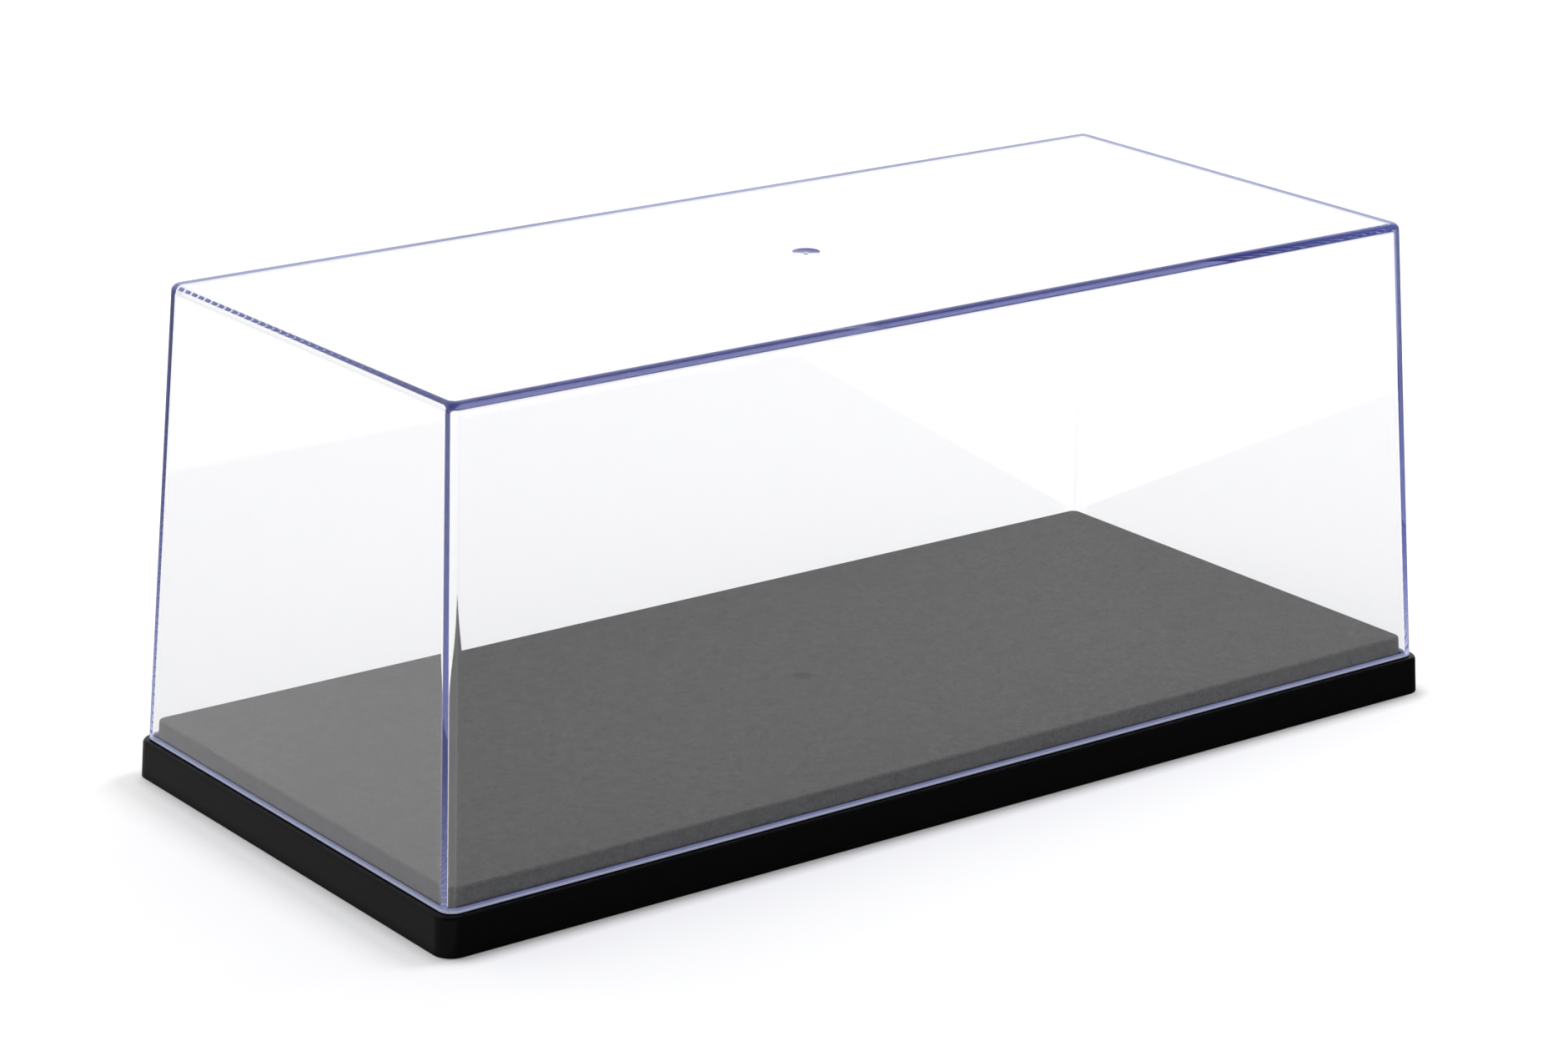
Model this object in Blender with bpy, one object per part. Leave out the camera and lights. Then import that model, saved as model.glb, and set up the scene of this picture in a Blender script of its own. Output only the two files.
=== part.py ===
"""Model car display case: a clear cover that lifts off a black plinth with a grey deck.

Lengths are in metres, +Z is up and the case stands on Z = 0. The long side runs along X.
"""
import math
from collections import namedtuple

import bmesh
import bpy
from mathutils import Matrix, Vector

# Plinth: the black tray that stands on the shelf
CASE_LENGTH = 0.3250
CASE_WIDTH = 0.1510
PLINTH_HEIGHT = 0.0102
PLINTH_DRAFT = math.radians(2.8)
PLINTH_CORNER = 0.0052
PLINTH_EDGE = 0.0010
PLINTH_WALL = 0.0022
PLINTH_PLATE = 0.0028
POCKET_DEPTH = 0.0008
POCKET_GAP = 0.0003
RIB_THICKNESS = 0.0012
RIB_DEPTH = 0.0030
CELLS_ALONG = 11
CELLS_ACROSS = 5
CELL_CORNER = 0.0010

# Cover: one clear moulding that stands on the shoulder around the deck
CASE_HEIGHT = 0.1341
COVER_DRAFT = math.radians(3.3)
COVER_SETBACK = 0.0016
COVER_WALL = 0.0024
COVER_ROOF = 0.0024
COVER_CORNER_FOOT = 0.0038
COVER_CORNER_ROOF = 0.0032
COVER_EDGE = 0.0020
COVER_INNER_CORNER_FOOT = 0.0010
COVER_INNER_CORNER_ROOF = 0.0010
COVER_INNER_EDGE = 0.0007
GATE_RADIUS = 0.0030
GATE_FLOOR_RADIUS = 0.0025
GATE_DEPTH = 0.0005
GATE_STUB_RADIUS = 0.0006
GATE_STUB_DROP = 0.0002

# Deck: the grey platform that the model stands on, staked to the plinth
DECK_RISE = 0.0057
DECK_CLEARANCE = 0.0006
DECK_DRAFT = math.radians(3.5)
DECK_CORNER = 0.0024
DECK_EDGE = 0.0007
DECK_PLATE = 0.0022
DECK_SKIRT = 0.0018
DECK_RIB = 0.0010
PEG_RADIUS = 0.0014
PEG_HOLE_RADIUS = 0.0017
PEG_BOSS_RADIUS = 0.0026
STAKE_RADIUS = 0.0028
STAKE_HEIGHT = 0.0012
PEG_COLUMNS = (-4, -1, 1, 4)
PEG_ROWS = (-2, 2)

# Gap left wherever one piece rests on another
REST_GAP = 0.0003

# How finely curves are divided, and how far a cutter runs past the face it opens
CORNER_STEPS = 10
EDGE_STEPS = 4
ROUND_STEPS = 32
OVERCUT = 0.0020
SMOOTH_ANGLE = math.radians(32)

Wall = namedtuple("Wall", "length width foot top draft corner_foot corner_top")

for existing in list(bpy.data.objects):
    bpy.data.objects.remove(existing)


def outline(length, width, corner, height):
    """Points of a rounded rectangle, anticlockwise from above."""
    points = []
    for quarter, (sx, sy) in enumerate(((1, 1), (-1, 1), (-1, -1), (1, -1))):
        cx = sx * (length / 2 - corner)
        cy = sy * (width / 2 - corner)
        for step in range(CORNER_STEPS + 1):
            turn = (quarter + step / CORNER_STEPS) * math.pi / 2
            points.append(Vector((cx + corner * math.cos(turn), cy + corner * math.sin(turn), height)))
    return points


def wall_inset(wall, height):
    """How far the leaning wall has come in by this height."""
    return (height - wall.foot) * math.tan(wall.draft)


def wall_outline(wall, height, extra=0.0):
    """The wall's outline at a height, brought in further by extra."""
    inset = wall_inset(wall, height) + extra
    share = (height - wall.foot) / (wall.top - wall.foot)
    corner = wall.corner_foot + (wall.corner_top - wall.corner_foot) * share - extra
    return outline(wall.length - 2 * inset, wall.width - 2 * inset, corner, height)


def wall_rings(wall, edge):
    """Outlines from the foot of a wall up to its top, with the top edge rounded."""
    centre_height = wall.top - edge
    centre_inset = wall_inset(wall, centre_height) + edge / math.cos(wall.draft)
    rings = [wall_outline(wall, wall.foot)]
    for step in range(EDGE_STEPS + 1):
        turn = wall.draft + (math.pi / 2 - wall.draft) * step / EDGE_STEPS
        height = centre_height + edge * math.sin(turn)
        inset = centre_inset - edge * math.cos(turn)
        rings.append(wall_outline(wall, height, inset - wall_inset(wall, height)))
    return rings


def loft(rings):
    """A closed solid through rings that all have the same number of points."""
    bm = bmesh.new()
    loops = [[bm.verts.new(point) for point in ring] for ring in rings]
    for lower, upper in zip(loops, loops[1:]):
        for i in range(len(lower)):
            j = (i + 1) % len(lower)
            bm.faces.new((lower[i], lower[j], upper[j], upper[i]))
    bm.faces.new(reversed(loops[0]))
    bm.faces.new(loops[-1])
    bmesh.ops.recalc_face_normals(bm, faces=bm.faces)
    return bm


def spun(profile):
    """A closed solid turned about Z from (radius, height) points that start and end on the axis."""
    bm = bmesh.new()
    verts = [bm.verts.new((radius, 0, height)) for radius, height in profile]
    edges = [bm.edges.new(pair) for pair in zip(verts, verts[1:])]
    bmesh.ops.spin(bm, geom=verts + edges, cent=Vector(), axis=Vector((0, 0, 1)),
                   angle=2 * math.pi, steps=ROUND_STEPS, use_merge=True)
    bmesh.ops.remove_doubles(bm, verts=bm.verts, dist=GATE_STUB_DROP / ROUND_STEPS)
    bmesh.ops.recalc_face_normals(bm, faces=bm.faces)
    return bm


def block(x_span, y_span, z_span, corner):
    """An upright block with rounded corners between the given spans."""
    centre = Matrix.Translation((sum(x_span) / 2, sum(y_span) / 2, 0))
    bm = bmesh.new()
    size = (x_span[1] - x_span[0], y_span[1] - y_span[0], z_span[1] - z_span[0])
    bmesh.ops.create_cube(bm, size=1, matrix=Matrix.Diagonal((*size, 1)))
    bmesh.ops.translate(bm, verts=bm.verts, vec=(0, 0, sum(z_span) / 2))
    upright = [e for e in bm.edges if abs(e.verts[0].co.z - e.verts[1].co.z) > size[2] / 2]
    bmesh.ops.bevel(bm, geom=upright, offset=corner, segments=2, affect="EDGES", profile=0.5)
    bmesh.ops.transform(bm, matrix=centre, verts=bm.verts)
    return bm


def joined(solids):
    """Several separate solids as one mesh."""
    whole = bmesh.new()
    for bm in solids:
        part = bpy.data.meshes.new("part")
        bm.to_mesh(part)
        bm.free()
        whole.from_mesh(part)
        bpy.data.meshes.remove(part)
    return whole


def at_places(make, places):
    """The same solid repeated at each (x, y) place."""
    solids = []
    for x, y in places:
        bm = make()
        bmesh.ops.translate(bm, verts=bm.verts, vec=(x, y, 0))
        solids.append(bm)
    return joined(solids)


def scratch_object(bm):
    mesh = bpy.data.meshes.new("scratch")
    bm.to_mesh(mesh)
    bm.free()
    scratch = bpy.data.objects.new("scratch", mesh)
    bpy.context.collection.objects.link(scratch)
    return scratch


def combined(body, tool, operation):
    """The body after an exact Boolean with the tool."""
    target, cutter = scratch_object(body), scratch_object(tool)
    change = target.modifiers.new(operation.title(), "BOOLEAN")
    change.operation = operation
    change.solver = "EXACT"
    change.object = cutter
    evaluated = target.evaluated_get(bpy.context.evaluated_depsgraph_get())
    result = bmesh.new()
    result.from_mesh(evaluated.to_mesh())
    evaluated.to_mesh_clear()
    for scratch in (target, cutter):
        mesh = scratch.data
        bpy.data.objects.remove(scratch)
        bpy.data.meshes.remove(mesh)
    return result


def material(name, colour, roughness, transmission=0.0, index=1.5):
    look = bpy.data.materials.new(name)
    look.use_nodes = True
    shader = look.node_tree.nodes["Principled BSDF"]
    shader.inputs["Base Color"].default_value = (*colour, 1)
    shader.inputs["Roughness"].default_value = roughness
    shader.inputs["Transmission Weight"].default_value = transmission
    shader.inputs["IOR"].default_value = index
    look.diffuse_color = (*colour, 1 - transmission / 2)
    return look


def place(name, bm, look, height):
    """Turn a solid into a named object whose own Z = 0 stands at the given height."""
    bmesh.ops.dissolve_limit(bm, angle_limit=math.radians(0.05), verts=bm.verts, edges=bm.edges)
    mesh = bpy.data.meshes.new(name)
    bm.to_mesh(mesh)
    bm.free()
    mesh.shade_smooth()
    mesh.set_sharp_from_angle(angle=SMOOTH_ANGLE)
    mesh.materials.append(look)
    piece = bpy.data.objects.new(name, mesh)
    piece.location = (0, 0, height)
    bpy.context.collection.objects.link(piece)
    return piece


# Sizes that follow from the driving dimensions
shoulder_inset = PLINTH_HEIGHT * math.tan(PLINTH_DRAFT)
cover_length = CASE_LENGTH - 2 * (shoulder_inset + COVER_SETBACK)
cover_width = CASE_WIDTH - 2 * (shoulder_inset + COVER_SETBACK)
deck_margin = COVER_WALL + DECK_CLEARANCE
deck_length = cover_length - 2 * deck_margin
deck_width = cover_width - 2 * deck_margin
pocket_floor = PLINTH_HEIGHT - POCKET_DEPTH
plate_underside = PLINTH_HEIGHT - PLINTH_PLATE
cell_pitch_x = (CASE_LENGTH - 2 * PLINTH_WALL) / CELLS_ALONG
cell_pitch_y = (CASE_WIDTH - 2 * PLINTH_WALL) / CELLS_ACROSS
peg_places = [(i * cell_pitch_x, j * cell_pitch_y) for i in PEG_COLUMNS for j in PEG_ROWS]
deck_foot = pocket_floor + REST_GAP
cover_foot = PLINTH_HEIGHT + REST_GAP


def plinth_cells():
    """One upright block for each hollow cell between the ribs under the plinth."""
    slope = plate_underside * math.tan(PLINTH_DRAFT)
    solids = []
    for i in range(CELLS_ALONG):
        for j in range(CELLS_ACROSS):
            x0 = (i - CELLS_ALONG / 2) * cell_pitch_x + RIB_THICKNESS / 2
            y0 = (j - CELLS_ACROSS / 2) * cell_pitch_y + RIB_THICKNESS / 2
            x1 = x0 + cell_pitch_x - RIB_THICKNESS
            y1 = y0 + cell_pitch_y - RIB_THICKNESS
            x0 += slope if i == 0 else 0
            x1 -= slope if i == CELLS_ALONG - 1 else 0
            y0 += slope if j == 0 else 0
            y1 -= slope if j == CELLS_ACROSS - 1 else 0
            solids.append(block((x0, x1), (y0, y1), (-OVERCUT, plate_underside), CELL_CORNER))
    return joined(solids)


def build_plinth():
    """Plinth: a hollow ribbed tray with a shoulder for the cover and a pocket for the deck."""
    shell = Wall(CASE_LENGTH, CASE_WIDTH, 0.0, PLINTH_HEIGHT, PLINTH_DRAFT, PLINTH_CORNER, PLINTH_CORNER)
    body = loft(wall_rings(shell, PLINTH_EDGE))
    foot_margin = 2 * (PLINTH_WALL + shoulder_inset)
    foot_corner = PLINTH_CORNER - PLINTH_WALL
    hollow = loft([outline(CASE_LENGTH - foot_margin, CASE_WIDTH - foot_margin, foot_corner, z)
                   for z in (-OVERCUT, plate_underside - RIB_DEPTH)])
    pocket = loft([outline(deck_length + 2 * POCKET_GAP, deck_width + 2 * POCKET_GAP,
                           DECK_CORNER + POCKET_GAP, z) for z in (pocket_floor, PLINTH_HEIGHT + OVERCUT)])
    hole = [(0, plate_underside - OVERCUT), (PEG_HOLE_RADIUS, plate_underside - OVERCUT),
            (PEG_HOLE_RADIUS, PLINTH_HEIGHT + OVERCUT), (0, PLINTH_HEIGHT + OVERCUT)]
    body = combined(body, hollow, "DIFFERENCE")
    body = combined(body, plinth_cells(), "DIFFERENCE")
    body = combined(body, pocket, "DIFFERENCE")
    body = combined(body, at_places(lambda: spun(hole), peg_places), "DIFFERENCE")
    return place("plinth_tray", body, material("black_plastic", (0.006, 0.006, 0.007), 0.18), 0)


def deck_cells(plate_bottom):
    """Hollows between the deck's ribs; the ribs run over the middles of the plinth's cells."""
    spans = []
    for size, pitch, count in ((deck_length, cell_pitch_x, CELLS_ALONG),
                               (deck_width, cell_pitch_y, CELLS_ACROSS)):
        edge = size / 2 - DECK_SKIRT
        lines = [(i - (count - 1) / 2) * pitch for i in range(count)]
        starts = [-edge] + [line + DECK_RIB / 2 for line in lines]
        ends = [line - DECK_RIB / 2 for line in lines] + [edge]
        spans.append(list(zip(starts, ends)))
    return joined([block(x_span, y_span, (-OVERCUT, plate_bottom), CELL_CORNER)
                   for x_span in spans[0] for y_span in spans[1]])


def build_deck():
    """Deck: a ribbed tray turned upside down, with pegs staked over under the plinth's plate."""
    top = PLINTH_HEIGHT + DECK_RISE - deck_foot
    plate_bottom = top - DECK_PLATE
    shell = Wall(deck_length, deck_width, 0.0, top, DECK_DRAFT, DECK_CORNER, DECK_CORNER)
    body = combined(loft(wall_rings(shell, DECK_EDGE)), deck_cells(plate_bottom), "DIFFERENCE")
    stake_top = plate_underside - REST_GAP - deck_foot
    peg = [(0, stake_top - STAKE_HEIGHT), (STAKE_RADIUS - STAKE_HEIGHT / 2, stake_top - STAKE_HEIGHT),
           (STAKE_RADIUS, stake_top - STAKE_HEIGHT / 2), (STAKE_RADIUS, stake_top),
           (PEG_RADIUS, stake_top), (PEG_RADIUS, 0), (PEG_BOSS_RADIUS, 0),
           (PEG_BOSS_RADIUS, plate_bottom + DECK_PLATE / 2), (0, plate_bottom + DECK_PLATE / 2)]
    body = combined(body, at_places(lambda: spun(peg), peg_places), "UNION")
    return place("display_deck", body, material("grey_plastic", (0.16, 0.16, 0.155), 0.7), deck_foot)


def build_cover():
    """Cover: a clear five-sided shell, open below, with its moulding gate mark on the roof."""
    top = CASE_HEIGHT - cover_foot
    outside = Wall(cover_length, cover_width, 0.0, top, COVER_DRAFT, COVER_CORNER_FOOT, COVER_CORNER_ROOF)
    inside = Wall(cover_length - 2 * COVER_WALL, cover_width - 2 * COVER_WALL, 0.0, top - COVER_ROOF,
                  COVER_DRAFT, COVER_INNER_CORNER_FOOT, COVER_INNER_CORNER_ROOF)
    body = loft(wall_rings(inside, COVER_INNER_EDGE)[::-1] + wall_rings(outside, COVER_EDGE))
    gate = spun([(0, top - GATE_STUB_DROP), (GATE_STUB_RADIUS, top - GATE_STUB_DROP),
                 (GATE_STUB_RADIUS, top - GATE_DEPTH), (GATE_FLOOR_RADIUS, top - GATE_DEPTH),
                 (GATE_RADIUS, top), (GATE_RADIUS, top + OVERCUT), (0, top + OVERCUT)])
    body = combined(body, gate, "DIFFERENCE")
    clear = material("clear_plastic", (0.96, 0.96, 0.98), 0.02, transmission=1.0, index=1.59)
    return place("clear_cover", body, clear, cover_foot)


plinth = build_plinth()
deck = build_deck()
cover = build_cover()
deck.parent = plinth
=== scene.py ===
# %% [markdown]
# # A display case for a model car
#
# The case is three plastic mouldings: a clear cover, a glossy black plinth and a matt grey deck. Most of
# what the eye sees of it is light: thin lavender lines where the clear walls are looked through edge on,
# and a black rim. So this lesson models the mouldings with their true wall thickness, and leaves the
# drawing of those lines to the bending of light in a clear solid. Only the pale line at the cover's foot is
# painted glow.

# %% Load the imported model as the frame
import math

import bmesh
import bpy
from mathutils import Matrix, Quaternion, Vector


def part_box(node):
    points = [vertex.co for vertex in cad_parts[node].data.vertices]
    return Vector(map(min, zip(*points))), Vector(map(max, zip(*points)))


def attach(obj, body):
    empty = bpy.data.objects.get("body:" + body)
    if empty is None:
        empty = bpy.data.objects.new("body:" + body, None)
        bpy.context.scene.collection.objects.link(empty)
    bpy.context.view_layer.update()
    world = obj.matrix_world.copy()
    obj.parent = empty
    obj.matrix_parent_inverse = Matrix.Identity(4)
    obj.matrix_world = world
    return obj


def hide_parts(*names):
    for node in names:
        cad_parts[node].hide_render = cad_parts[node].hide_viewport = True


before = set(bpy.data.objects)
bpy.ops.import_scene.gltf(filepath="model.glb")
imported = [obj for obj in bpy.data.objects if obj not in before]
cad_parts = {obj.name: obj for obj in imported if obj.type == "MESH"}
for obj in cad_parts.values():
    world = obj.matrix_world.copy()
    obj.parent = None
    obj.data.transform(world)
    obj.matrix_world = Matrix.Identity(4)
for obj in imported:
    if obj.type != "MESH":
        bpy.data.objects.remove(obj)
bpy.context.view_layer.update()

# %% [markdown]
# ## The camera
#
# The photograph was taken from in front of one corner, from a little above, with a long lens from about a
# metre and a quarter away. The place, the aim and the slight tilt were worked out from the case's straight
# edges. `to_track_quat` turns a direction into a level camera, and a small turn about the line of sight
# adds the tilt.

# %% Set up the camera
CAMERA_PLACE = Vector((-0.6719, -0.8766, 0.4193))
CAMERA_AIM = Vector((0.57507, 0.75707, -0.31005))
CAMERA_TILT = math.radians(0.793)
CAMERA_LENS = 99.62

camera_data = bpy.data.cameras.new("camera")
camera_data.sensor_width = 36
camera_data.lens = CAMERA_LENS
camera_data.clip_start = 0.01
camera = bpy.data.objects.new("camera", camera_data)
camera.location = CAMERA_PLACE
level = CAMERA_AIM.to_track_quat("-Z", "Y")
camera.rotation_euler = (level @ Quaternion((0, 0, 1), CAMERA_TILT)).to_euler()
bpy.context.scene.collection.objects.link(camera)
bpy.context.scene.camera = camera
print("camera distance", round(CAMERA_PLACE.length, 3), "m")

# %% [markdown]
# ## Light inside clear plastic
#
# Light that enters the rim of a clear plate stays inside it, mirrored from face to face, until it leaves
# at the far end. That takes more turns than a path may make by default, and a path that runs out of turns
# is black. So the limits on turns are raised before anything clear is made.

# %% Let light take more turns
LIGHT_TURNS = 160

bpy.context.scene.cycles.max_bounces = LIGHT_TURNS + 4
bpy.context.scene.cycles.glossy_bounces = LIGHT_TURNS
bpy.context.scene.cycles.transmission_bounces = LIGHT_TURNS
print("turns of light inside the clear plastic", LIGHT_TURNS)

# %% [markdown]
# ## Helpers for materials
#
# Every finish below is a small graph of nodes. A few helpers keep the graphs short: one adds a node with
# its values, one links sockets, and one starts a material with its Principled shader.

# %% Small helpers for node graphs
def add_node(tree, kind, label="", **values):
    """Add a node, name it, and set the sockets given by name."""
    node = tree.nodes.new(kind)
    node.label = label
    for name, value in values.items():
        node.inputs[name.replace("_", " ")].default_value = value
    return node


def new_finish(name):
    """A material with an empty tree, and its output node."""
    finish = bpy.data.materials.new(name)
    finish.use_nodes = True
    finish.node_tree.nodes.clear()
    return finish, finish.node_tree, finish.node_tree.nodes.new("ShaderNodeOutputMaterial")


def ramp(tree, source, stops):
    """A colour ramp through (place, grey or colour) stops."""
    node = tree.nodes.new("ShaderNodeValToRGB")
    while len(node.color_ramp.elements) < len(stops):
        node.color_ramp.elements.new(0.5)
    for element, (place, value) in zip(node.color_ramp.elements, stops):
        element.position = place
        element.color = (*value, 1) if isinstance(value, tuple) else (value, value, value, 1)
    tree.links.new(source, node.inputs["Fac"])
    return node.outputs["Color"]


def speckle(tree, scale, detail=4.0, roughness=0.6, stretch=(1, 1, 1)):
    """Noise over the object's own coordinates, in cycles per metre."""
    place = tree.nodes.new("ShaderNodeTexCoord")
    fit = tree.nodes.new("ShaderNodeMapping")
    fit.inputs["Scale"].default_value = stretch
    noise = add_node(tree, "ShaderNodeTexNoise", Scale=scale, Detail=detail, Roughness=roughness)
    tree.links.new(place.outputs["Object"], fit.inputs["Vector"])
    tree.links.new(fit.outputs["Vector"], noise.inputs["Vector"])
    return noise.outputs["Fac"]


# %% [markdown]
# The next helpers do small jobs inside a graph: one works on two values, one spreads a value over a range,
# one chooses between two values, one lays a shader over another, one multiplies colours, and one gives the
# place on the object.

# %% Helpers for values, shaders and places
def reckon(tree, operation, first, second):
    """A Math node on two values, each a socket or a number."""
    node = tree.nodes.new("ShaderNodeMath")
    node.operation = operation
    for socket, value in zip(node.inputs, (first, second)):
        if isinstance(value, (int, float)):
            socket.default_value = value
        else:
            tree.links.new(value, socket)
    return node.outputs[0]


def spread(tree, source, start, end, low_value, high_value):
    """A value that goes from low_value, where the source is at its start, to high_value at its end."""
    node = tree.nodes.new("ShaderNodeMapRange")
    node.inputs["From Min"].default_value = start
    node.inputs["From Max"].default_value = end
    node.inputs["To Min"].default_value = low_value
    node.inputs["To Max"].default_value = high_value
    tree.links.new(source, node.inputs["Value"])
    return node.outputs["Result"]


def chosen(tree, test, without, given):
    """The number `without` where the test is 0, and the value `given` where it is 1."""
    node = tree.nodes.new("ShaderNodeMix")
    tree.links.new(test, node.inputs["Factor"])
    node.inputs["A"].default_value = without
    tree.links.new(given, node.inputs["B"])
    return node.outputs["Result"]


def laid_over(tree, share, below, above):
    """A shader laid over another by its share."""
    node = tree.nodes.new("ShaderNodeMixShader")
    tree.links.new(share, node.inputs["Fac"])
    tree.links.new(below, node.inputs[1])
    tree.links.new(above, node.inputs[2])
    return node.outputs[0]


def multiplied(tree, first, second):
    """The product of two colours."""
    node = tree.nodes.new("ShaderNodeMix")
    node.data_type = "RGBA"
    node.blend_type = "MULTIPLY"
    node.inputs["Factor"].default_value = 1.0
    tree.links.new(first, node.inputs["A"])
    tree.links.new(second, node.inputs["B"])
    return node.outputs["Result"]


def own_place(tree):
    """The place on the object, whole and split into X, Y and Z."""
    place = tree.nodes.new("ShaderNodeTexCoord").outputs["Object"]
    split = tree.nodes.new("ShaderNodeSeparateXYZ")
    tree.links.new(place, split.inputs[0])
    return place, split.outputs


# %% [markdown]
# ## The white studio
#
# The case stands on a white sweep. Seen by the camera or through the clear walls, the surroundings are
# plain white, but they light the case at an even studio level. The Light Path node tells those kinds of ray
# apart. One helper finds the rays that show the background, and another those that come straight from a
# gloss.

# %% Helpers that tell kinds of ray apart
def seen_directly(tree):
    """1 for rays that show the background by themselves, in a gloss or through something clear, before they
    have met a matt surface, and 0 for the rays that gather light for a matt surface."""
    path = tree.nodes.new("ShaderNodeLightPath").outputs
    plain = reckon(tree, "MAXIMUM", path["Is Camera Ray"], path["Is Glossy Ray"])
    shown = reckon(tree, "MAXIMUM", plain, path["Is Transmission Ray"])
    fresh = reckon(tree, "LESS_THAN", path["Diffuse Depth"], 0.5)
    return reckon(tree, "MULTIPLY", shown, fresh)


def mirrored(tree):
    """1 for rays that come straight from a gloss. A ray through clear plastic also counts as glossy, so it
    is told apart by its transmission."""
    path = tree.nodes.new("ShaderNodeLightPath").outputs
    return reckon(tree, "GREATER_THAN", path["Is Glossy Ray"], path["Is Transmission Ray"])


# %% [markdown]
# A gloss shows the room. The plinth's long front side mirrors a dark room, and its left end a light one. So
# rays that come straight from a gloss meet a sky that is dark ahead of the case and white behind it. That
# goes by direction in the scene, and looks right from every side.

# %% Light the world
WORLD_LIGHT = 0.42
GLOSS_AHEAD = 0.04
ROOM_EDGE = (0.0, 0.3)

world = bpy.data.worlds.new("studio")
bpy.context.scene.world = world
world.use_nodes = True
tree = world.node_tree
back = tree.nodes["Background"]
back.inputs["Color"].default_value = (1, 1, 1, 1)
towards = tree.nodes.new("ShaderNodeTexCoord")
split = tree.nodes.new("ShaderNodeSeparateXYZ")
tree.links.new(towards.outputs["Generated"], split.inputs[0])
room = spread(tree, split.outputs["Y"], *ROOM_EDGE, GLOSS_AHEAD, 1.0)
level = spread(tree, seen_directly(tree), 0.0, 1.0, WORLD_LIGHT, 1.0)
strength = reckon(tree, "MULTIPLY", level, chosen(tree, mirrored(tree), 1.0, room))
tree.links.new(strength, back.inputs["Strength"])
print("world light", WORLD_LIGHT)

# %% [markdown]
# The floor is a plain sheet just under the case. It stays a real matt floor, so that it keeps the soft
# shadow, except in a gloss, where it shows a painted reflection. Far from the case it also glows, so that
# it stays white where the lamps no longer reach.

# %% Lay the floor
FLOOR_SIZE = 8.0
FLOOR_SQUARES = 8
FLOOR_DROP = 0.0001

floor_bm = bmesh.new()
bmesh.ops.create_grid(floor_bm, x_segments=FLOOR_SQUARES, y_segments=FLOOR_SQUARES, size=FLOOR_SIZE / 2)
floor_mesh = bpy.data.meshes.new("floor")
floor_bm.to_mesh(floor_mesh)
floor_bm.free()
floor = bpy.data.objects.new("floor", floor_mesh)
floor.location = (0, 0, -FLOOR_DROP)
bpy.context.scene.collection.objects.link(floor)
print("floor", FLOOR_SIZE, "m across")

# %% Finish the floor
FLOOR_WHITE = 0.86
FAR_GLOW = 0.60
GLOW_REACH = (0.7, 2.2)
GLOSS_ASIDE = 0.58
GLOSS_BLEND = 0.004


def even_glow(tree, level):
    """An emission of one grey."""
    return add_node(tree, "ShaderNodeEmission", Color=(level, level, level, 1)).outputs[0]


finish, tree, out = new_finish("white_sweep")
place, axes = own_place(tree)
matt = add_node(tree, "ShaderNodeBsdfDiffuse", Color=(FLOOR_WHITE, FLOOR_WHITE, FLOOR_WHITE, 1))
away = tree.nodes.new("ShaderNodeVectorMath")
away.operation = "LENGTH"
tree.links.new(place, away.inputs[0])
far_level = spread(tree, away.outputs["Value"], *GLOW_REACH, 0.0, FAR_GLOW)
glow = add_node(tree, "ShaderNodeEmission")
tree.links.new(reckon(tree, "MULTIPLY", far_level, seen_directly(tree)), glow.inputs["Strength"])
lit = tree.nodes.new("ShaderNodeAddShader")
tree.links.new(matt.outputs[0], lit.inputs[0])
tree.links.new(glow.outputs[0], lit.inputs[1])
# In a gloss the floor is a painted reflection: an even grey glow, lighter left of the plinth's left end and
# dark from there on.
left_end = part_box("plinth_tray")[0].x
side = spread(tree, axes["X"], left_end - GLOSS_BLEND, left_end + GLOSS_BLEND, 0.0, 1.0)
gloss = laid_over(tree, side, even_glow(tree, GLOSS_ASIDE), even_glow(tree, GLOSS_AHEAD))
tree.links.new(laid_over(tree, mirrored(tree), lit.outputs[0], gloss), out.inputs["Surface"])
floor.data.materials.append(finish)
print("in a gloss the floor is dark from x", round(left_end, 4), "m on")

# %% [markdown]
# ## The lamps
#
# A wide soft box hangs above and behind the case, so that the plinth throws a short, deep shadow forward. A
# second, weaker one stands at the right and gives the longer shadow at the left. Both are hidden from the
# camera, from a gloss and from rays through clear plastic, so that they never show as shapes in the walls.

# %% Hang the soft boxes
TOP_PLACE = (0.0, 0.7, 1.9)
TOP_SIZE = (1.6, 0.9)
TOP_POWER = 30
RIGHT_PLACE = (1.2, 0.0, 1.25)
RIGHT_SIZE = (0.6, 0.6)
RIGHT_POWER = 13


def soft_box(name, place, size, power):
    """A rectangular lamp that is aimed at the middle of the plinth's foot."""
    data = bpy.data.lights.new(name, "AREA")
    data.shape = "RECTANGLE"
    data.size, data.size_y = size
    data.energy = power
    lamp = bpy.data.objects.new(name, data)
    lamp.location = place
    lamp.rotation_euler = (-Vector(place)).to_track_quat("-Z", "Y").to_euler()
    lamp.visible_camera = False
    lamp.visible_glossy = False
    lamp.visible_transmission = False
    bpy.context.scene.collection.objects.link(lamp)
    return lamp


lamps = [soft_box("soft_box_top", TOP_PLACE, TOP_SIZE, TOP_POWER),
         soft_box("soft_box_right", RIGHT_PLACE, RIGHT_SIZE, RIGHT_POWER)]
print("lamps", [lamp.name for lamp in lamps])

# %% [markdown]
# ## Outlines and lofts
#
# All three mouldings share one form language: rounded rectangles whose walls lean in a few degrees so that
# the moulding leaves its tool, with the top edge rounded over. A stack of such outlines is joined into a
# skin. Lofting from outlines beats bevelling a box here, because wall, corner and lean can all change from
# foot to top.

# %% Helpers for rounded, leaning walls
CORNER_STEPS = 20
EDGE_STEPS = 12


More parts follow.
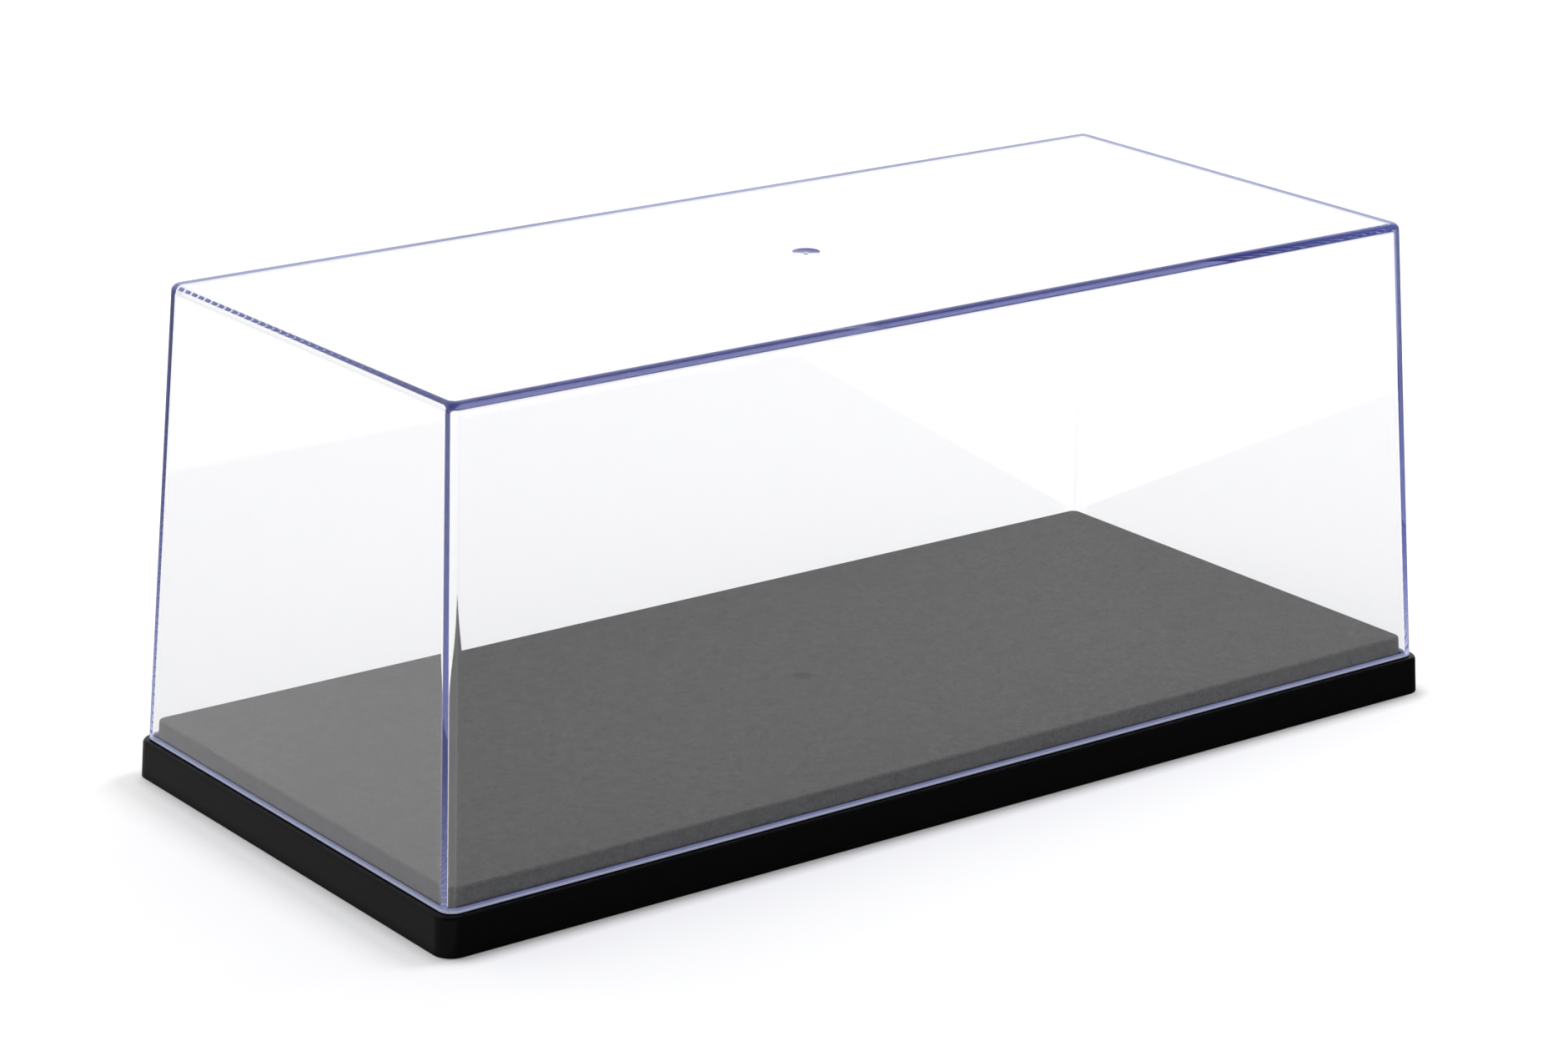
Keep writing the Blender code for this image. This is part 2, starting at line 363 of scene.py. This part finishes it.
def rounded(length, width, corner, height):
    """Points of a rounded rectangle, anticlockwise from above."""
    points = []
    for quarter, (sx, sy) in enumerate(((1, 1), (-1, 1), (-1, -1), (1, -1))):
        for step in range(CORNER_STEPS + 1):
            turn = (quarter + step / CORNER_STEPS) * math.pi / 2
            points.append(Vector((sx * (length / 2 - corner) + corner * math.cos(turn),
                                  sy * (width / 2 - corner) + corner * math.sin(turn), height)))
    return points


def circle(radius, height):
    """A circle with as many points as a rounded rectangle, in the same order."""
    count = 4 * (CORNER_STEPS + 1)
    turns = [2 * math.pi * (i + 0.5) / count for i in range(count)]
    return [Vector((radius * math.cos(turn), radius * math.sin(turn), height)) for turn in turns]


def leaning_wall(size, corners, foot, top, lean, edge):
    """Outlines up a wall that leans in, whose corner changes from foot to top and whose top edge is rounded."""
    def at(height, inset):
        share = (height - foot) / (top - foot)
        base = (height - foot) * math.tan(lean)
        corner = corners[0] + (corners[1] - corners[0]) * share - (inset - base)
        return rounded(size[0] - 2 * inset, size[1] - 2 * inset, corner, height)

    centre = (top - edge - foot) * math.tan(lean) + edge / math.cos(lean)
    rings = [at(foot, 0)]
    for step in range(EDGE_STEPS + 1):
        turn = lean + (math.pi / 2 - lean) * step / EDGE_STEPS
        rings.append(at(top - edge + edge * math.sin(turn), centre - edge * math.cos(turn)))
    return rings


def skin(rings):
    """A closed solid through rings that have the same number of points."""
    bm = bmesh.new()
    loops = [[bm.verts.new(point) for point in ring] for ring in rings]
    for lower, upper in zip(loops, loops[1:]):
        for i in range(len(lower)):
            j = (i + 1) % len(lower)
            bm.faces.new((lower[i], lower[j], upper[j], upper[i]))
    bm.faces.new(reversed(loops[0]))
    bm.faces.new(loops[-1])
    bmesh.ops.recalc_face_normals(bm, faces=bm.faces)
    return bm


# %% [markdown]
# ## Turning a solid into a piece
#
# A small rounded edge next to a large flat face shades badly when the normals at their shared corners are
# averaged. Weighting the normals by face area keeps the flat faces flat and lets the narrow ones turn,
# which matters most on the clear cover, where each normal bends light.

# %% Helper that finishes a piece
SHARP_FROM = math.radians(35)
FLAT_WEIGHT = 90


def make_piece(name, bm, node, body, finish):
    mesh = bpy.data.meshes.new(name)
    bm.to_mesh(mesh)
    bm.free()
    mesh.shade_smooth()
    mesh.set_sharp_from_angle(angle=SHARP_FROM)
    mesh.materials.append(finish)
    piece = bpy.data.objects.new(name, mesh)
    bpy.context.scene.collection.objects.link(piece)
    even = piece.modifiers.new("Flat faces stay flat", "WEIGHTED_NORMAL")
    even.keep_sharp = True
    even.weight = FLAT_WEIGHT
    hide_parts(node)
    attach(piece, body)
    print(name, len(mesh.vertices), "vertices,", len(mesh.polygons), "faces")
    return piece


# %% [markdown]
# ## The clear cover
#
# The real cover is one shot of clear polystyrene, a little over 2 mm thick. The plastic looks colourless
# through a wall, but light that travels along inside a wall crosses a hundred millimetres of it and comes
# out lavender. So the surface is a clean refracting shader, and the tint is a volume that absorbs a little
# more red and green than blue. Lamps are let through with a Transparent shader, because a clear wall hardly
# darkens what stands behind it.
#
# The light that travels down inside the walls leaves at their foot, whose rough edge shows as a pale line
# just above the black rim. There a matt shader takes over, found by the height on the cover. Its pale
# lavender colour is painted glow, which stands in for that escaping light on the frosted edge.

# %% Mix the clear plastic
CLEAR_IOR = 1.59
CLEAR_COLOUR = (0.98, 0.98, 0.98)
EDGE_TINT = (0.20, 0.24, 0.60)
TINT_PER_METRE = 10.0
SHADE_OF_CLEAR = (0.985, 0.985, 0.988)
FOOT_BAND = 0.0008
FOOT_SHARP = 0.75
FOOT_FROST_AND_GLOW = (0.60, 0.63, 0.84)

clear_finish, tree, out = new_finish("clear_plastic")
shell = add_node(tree, "ShaderNodeBsdfPrincipled", Base_Color=(*CLEAR_COLOUR, 1), Roughness=0.0,
                 IOR=CLEAR_IOR, Transmission_Weight=1.0)
through = add_node(tree, "ShaderNodeBsdfTransparent", Color=(*SHADE_OF_CLEAR, 1))
path = tree.nodes.new("ShaderNodeLightPath").outputs
clear = laid_over(tree, path["Is Shadow Ray"], shell.outputs[0], through.outputs[0])
place, axes = own_place(tree)
cover_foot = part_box("clear_cover")[0].z
rough_glowing_foot = spread(tree, axes["Z"], cover_foot + FOOT_BAND * FOOT_SHARP, cover_foot + FOOT_BAND, 1.0, 0.0)
# The foot band is a frosted edge, and its pale lavender colour is painted glow.
frost_and_painted_glow = add_node(tree, "ShaderNodeBsdfDiffuse", Color=(*FOOT_FROST_AND_GLOW, 1))
tree.links.new(laid_over(tree, rough_glowing_foot, clear, frost_and_painted_glow.outputs[0]), out.inputs["Surface"])
tint = add_node(tree, "ShaderNodeVolumeAbsorption", Color=(*EDGE_TINT, 1), Density=TINT_PER_METRE)
tree.links.new(tint.outputs[0], out.inputs["Volume"])
print("clear plastic, refractive index", CLEAR_IOR)

# %% [markdown]
# The cover is lofted in one go: up the inside from its foot to the underside of the roof, and up the
# outside to the roof, which ends in the small dished mark where the plastic entered the tool. Its size
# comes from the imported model.

# %% Loft the cover
COVER_WALL = 0.0024
COVER_ROOF = 0.0024
COVER_LEAN = math.radians(3.3)
COVER_CORNERS = (0.0038, 0.0032)
COVER_EDGE = 0.0020
INNER_CORNERS = (0.0010, 0.0010)
INNER_EDGE = 0.0007
GATE_RADIUS = 0.0037
GATE_DEPTH = 0.0006
GATE_STEPS = 8
GATE_STUB_RADIUS = 0.0006
GATE_STUB_DROP = 0.0003

low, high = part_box("clear_cover")
cover_size = (high.x - low.x, high.y - low.y)
inner_size = (cover_size[0] - 2 * COVER_WALL, cover_size[1] - 2 * COVER_WALL)
inside = leaning_wall(inner_size, INNER_CORNERS, low.z, high.z - COVER_ROOF, COVER_LEAN, INNER_EDGE)
outside = leaning_wall(cover_size, COVER_CORNERS, low.z, high.z, COVER_LEAN, COVER_EDGE)
gate_turn = math.acos(GATE_STUB_RADIUS / GATE_RADIUS) / GATE_STEPS
gate = [circle(GATE_RADIUS * math.cos(gate_turn * step), high.z - GATE_DEPTH * math.sin(gate_turn * step))
        for step in range(GATE_STEPS + 1)]
gate.append(circle(GATE_STUB_RADIUS, high.z - GATE_STUB_DROP))
cover = make_piece("cover_moulding", skin(inside[::-1] + outside + gate), "clear_cover", "cover",
                   clear_finish)

# %% [markdown]
# ## The black plinth
#
# Polished black plastic is a dark base under a clean gloss. The gloss is never perfect: fine dust and
# hairline rubs break it up, so the colour follows a fine noise for the dust and the roughness a coarser,
# stretched one for the rubs.

# %% Mix the black plastic
RUB_SCALE = 900
RUB_STRETCH = (0.08, 0.08, 1)
DUST_SCALE = 2600
FLOW_SCALE = 160
BLACK = (0.0035, 0.0035, 0.004)
DUST_GREY = (0.012, 0.012, 0.013)

black_finish, tree, out = new_finish("black_plastic")
shell = add_node(tree, "ShaderNodeBsdfPrincipled", IOR=1.5, Specular_IOR_Level=0.07)
rubs = ramp(tree, speckle(tree, RUB_SCALE, stretch=RUB_STRETCH), [(0.35, 0.10), (0.75, 0.22)])
tree.links.new(rubs, shell.inputs["Roughness"])
dust = ramp(tree, speckle(tree, DUST_SCALE, detail=2), [(0.66, BLACK), (0.82, DUST_GREY)])
tree.links.new(dust, shell.inputs["Base Color"])
flow = add_node(tree, "ShaderNodeBump", Strength=0.05, Distance=0.0002)
tree.links.new(speckle(tree, FLOW_SCALE, detail=1), flow.inputs["Height"])
tree.links.new(flow.outputs[0], shell.inputs["Normal"])
tree.links.new(shell.outputs[0], out.inputs["Surface"])
print("black plastic ready")

# %% [markdown]
# The plinth is a hollow tray. Its outline is lofted, and then the hollow, the cells between the low ribs,
# the pocket for the deck and the peg holes are cut from it with exact Booleans, in that order.

# %% Helpers for cutting
def scratch_object(bm):
    mesh = bpy.data.meshes.new("scratch")
    bm.to_mesh(mesh)
    bm.free()
    scratch = bpy.data.objects.new("scratch", mesh)
    bpy.context.scene.collection.objects.link(scratch)
    return scratch


def combined(body, tool, operation):
    """The body after an exact Boolean with the tool."""
    target, cutter = scratch_object(body), scratch_object(tool)
    change = target.modifiers.new("Cut", "BOOLEAN")
    change.operation = operation
    change.solver = "EXACT"
    change.object = cutter
    evaluated = target.evaluated_get(bpy.context.evaluated_depsgraph_get())
    result = bmesh.new()
    result.from_mesh(evaluated.to_mesh())
    evaluated.to_mesh_clear()
    for scratch in (target, cutter):
        mesh = scratch.data
        bpy.data.objects.remove(scratch)
        bpy.data.meshes.remove(mesh)
    return result


def joined(solids):
    """Several separate solids as one mesh."""
    whole = bmesh.new()
    for bm in solids:
        part = bpy.data.meshes.new("part")
        bm.to_mesh(part)
        bm.free()
        whole.from_mesh(part)
        bpy.data.meshes.remove(part)
    return whole


def block(x_span, y_span, z_span, corner):
    """An upright block with rounded corners."""
    size = (x_span[1] - x_span[0], y_span[1] - y_span[0], z_span[1] - z_span[0])
    middle = (sum(x_span) / 2, sum(y_span) / 2, sum(z_span) / 2)
    bm = bmesh.new()
    bmesh.ops.create_cube(bm, size=1, matrix=Matrix.Translation(middle) @ Matrix.Diagonal((*size, 1)))
    upright = [e for e in bm.edges if abs(e.verts[0].co.z - e.verts[1].co.z) > size[2] / 2]
    bmesh.ops.bevel(bm, geom=upright, offset=corner, segments=2, affect="EDGES", profile=0.5)
    return bm


def turned(profile, place, steps=32):
    """A solid turned about an upright axis at (x, y), from (radius, height) points."""
    bm = bmesh.new()
    verts = [bm.verts.new((radius, 0, height)) for radius, height in profile]
    edges = [bm.edges.new(pair) for pair in zip(verts, verts[1:])]
    bmesh.ops.spin(bm, geom=verts + edges, cent=(0, 0, 0), axis=(0, 0, 1), angle=2 * math.pi,
                   steps=steps, use_merge=True)
    bmesh.ops.remove_doubles(bm, verts=bm.verts, dist=0.000005)
    bmesh.ops.recalc_face_normals(bm, faces=bm.faces)
    bmesh.ops.translate(bm, verts=bm.verts, vec=(*place, 0))
    return bm


# %% Loft and cut the plinth
PLINTH_LEAN = math.radians(2.8)
PLINTH_CORNER = 0.0052
PLINTH_EDGE = 0.0010
PLINTH_WALL = 0.0022
PLINTH_PLATE = 0.0028
POCKET_DEPTH = 0.0008
POCKET_GAP = 0.0003
RIB = 0.0012
RIB_DEPTH = 0.0030
CELLS = (11, 5)
OVERCUT = 0.0020
CELL_CORNER = 0.0010
POCKET_CORNER = 0.0027
PEG_HOLE_RADIUS = 0.0017

low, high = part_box("plinth_tray")
plinth_size = (high.x - low.x, high.y - low.y)
plinth_top = high.z
deck_low, deck_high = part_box("display_deck")
deck_size = (deck_high.x - deck_low.x, deck_high.y - deck_low.y)
pitch = [(size - 2 * PLINTH_WALL) / count for size, count in zip(plinth_size, CELLS)]
peg_places = [(i * pitch[0], j * pitch[1]) for i in (-4, -1, 1, 4) for j in (-2, 2)]
plate_underside = plinth_top - PLINTH_PLATE
lean_in = plate_underside * math.tan(PLINTH_LEAN)


def cell_spans(count, step):
    """Spans between ribs, with the outermost kept clear of the leaning wall."""
    spans = []
    for i in range(count):
        start = (i - count / 2) * step + RIB / 2 + (lean_in if i == 0 else 0)
        end = (i + 1 - count / 2) * step - RIB / 2 - (lean_in if i == count - 1 else 0)
        spans.append((start, end))
    return spans


body = skin(leaning_wall(plinth_size, (PLINTH_CORNER, PLINTH_CORNER), 0, plinth_top, PLINTH_LEAN, PLINTH_EDGE))
margin = 2 * (PLINTH_WALL + plinth_top * math.tan(PLINTH_LEAN))
hollow = skin([rounded(plinth_size[0] - margin, plinth_size[1] - margin, PLINTH_CORNER - PLINTH_WALL, z)
               for z in (-OVERCUT, plate_underside - RIB_DEPTH)])
cells = joined([block(x_span, y_span, (-OVERCUT, plate_underside), CELL_CORNER)
                for x_span in cell_spans(CELLS[0], pitch[0]) for y_span in cell_spans(CELLS[1], pitch[1])])
pocket = skin([rounded(deck_size[0] + 2 * POCKET_GAP, deck_size[1] + 2 * POCKET_GAP, POCKET_CORNER, z)
               for z in (plinth_top - POCKET_DEPTH, plinth_top + OVERCUT)])
hole = [(0, 0), (PEG_HOLE_RADIUS, 0), (PEG_HOLE_RADIUS, plinth_top + OVERCUT), (0, plinth_top + OVERCUT)]
for cutter in (hollow, cells, pocket, joined([turned(hole, place) for place in peg_places])):
    body = combined(body, cutter, "DIFFERENCE")
plinth = make_piece("plinth_moulding", body, "plinth_tray", "base", black_finish)

# %% [markdown]
# ## The grey deck
#
# The deck is moulded against a spark-eroded tool, which leaves a fine even grain and no gloss. Under that
# grain the grey is not quite even either. Two noises do this: a coarse one that moves the grey by a few
# per cent, and a fine one that gives the grain its bump and its tiny light and dark points. A faint darker
# spot marks the middle of the deck.

# %% Mix the grained grey plastic
DECK_SPOT_RADIUS = 0.0033
DECK_SPOT_FACTOR = 0.55
DECK_DARK = (0.0550, 0.0548, 0.0535)
DECK_LIGHT = (0.0700, 0.0690, 0.0665)
MOTTLE_SCALE = 330
GRAIN_SCALE = 1100
GRAIN_DEPTH = 0.28
BUMP_SCALE = 1900

grey_finish, tree, out = new_finish("grey_plastic")
shell = add_node(tree, "ShaderNodeBsdfPrincipled", Roughness=0.62, Specular_IOR_Level=0.25)
cloud = ramp(tree, speckle(tree, MOTTLE_SCALE, detail=3), [(0.3, DECK_DARK), (0.7, DECK_LIGHT)])
grain = ramp(tree, speckle(tree, GRAIN_SCALE, detail=4), [(0.35, 1 - GRAIN_DEPTH), (0.65, 1 + GRAIN_DEPTH)])
place, axes = own_place(tree)
from_middle = tree.nodes.new("ShaderNodeVectorMath")
from_middle.operation = "DISTANCE"
from_middle.inputs[1].default_value = (0, 0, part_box("display_deck")[1].z)
tree.links.new(place, from_middle.inputs[0])
# The colour is darker in a small round spot at the middle of the deck top.
mark = spread(tree, from_middle.outputs["Value"], DECK_SPOT_RADIUS / 2, DECK_SPOT_RADIUS, DECK_SPOT_FACTOR, 1.0)
tree.links.new(multiplied(tree, multiplied(tree, cloud, grain), mark), shell.inputs["Base Color"])
bump = add_node(tree, "ShaderNodeBump", Strength=0.35, Distance=0.00012)
tree.links.new(speckle(tree, BUMP_SCALE, detail=3), bump.inputs["Height"])
tree.links.new(bump.outputs[0], shell.inputs["Normal"])
tree.links.new(shell.outputs[0], out.inputs["Surface"])
print("grey plastic ready")

# %% [markdown]
# The deck is an upside-down tray with ribs. Its eight pegs pass through the plinth's plate and are staked
# over below it, which is how such a deck is fixed without screws.

# %% Loft, cut and peg the deck
DECK_LEAN = math.radians(3.5)
DECK_CORNER = 0.0024
DECK_EDGE = 0.0007
DECK_PLATE = 0.0022
DECK_SKIRT = 0.0018
DECK_RIB = 0.0010
STAKE_RADIUS = 0.0028
STAKE_CHAMFER = 0.0006
NECK_RADIUS = 0.0014
PEG_RADIUS = 0.0026
SEAT_GAP = 0.0003

deck_foot = plinth_top - POCKET_DEPTH + SEAT_GAP
deck_top = deck_high.z
plate_bottom = deck_top - DECK_PLATE
body = skin(leaning_wall(deck_size, (DECK_CORNER, DECK_CORNER), deck_foot, deck_top, DECK_LEAN, DECK_EDGE))


def deck_spans(size, step, count):
    """Spans between the deck's ribs, which run over the middles of the plinth's cells."""
    edge = size / 2 - DECK_SKIRT
    lines = [(i - (count - 1) / 2) * step for i in range(count)]
    return list(zip([-edge] + [line + DECK_RIB / 2 for line in lines],
                    [line - DECK_RIB / 2 for line in lines] + [edge]))


deck_hollows = joined([block(x_span, y_span, (deck_foot - OVERCUT, plate_bottom), CELL_CORNER)
                       for x_span in deck_spans(deck_size[0], pitch[0], CELLS[0])
                       for y_span in deck_spans(deck_size[1], pitch[1], CELLS[1])])
body = combined(body, deck_hollows, "DIFFERENCE")
stake_low, stake_high = deck_low.z, plate_underside - SEAT_GAP
peg_top = plate_bottom + DECK_PLATE / 2
peg = [(0, stake_low), (STAKE_RADIUS - STAKE_CHAMFER, stake_low), (STAKE_RADIUS, stake_low + STAKE_CHAMFER),
       (STAKE_RADIUS, stake_high), (NECK_RADIUS, stake_high), (NECK_RADIUS, deck_foot), (PEG_RADIUS, deck_foot),
       (PEG_RADIUS, peg_top), (0, peg_top)]
body = combined(body, joined([turned(peg, place) for place in peg_places]), "UNION")
deck = make_piece("deck_moulding", body, "display_deck", "base", grey_finish)

# %% [markdown]
# ## Finish
#
# The colours are shown through the standard view transform. The dressed model must stay inside the
# imported model's box.

# %% Use the standard view transform
bpy.context.scene.view_settings.view_transform = "Standard"
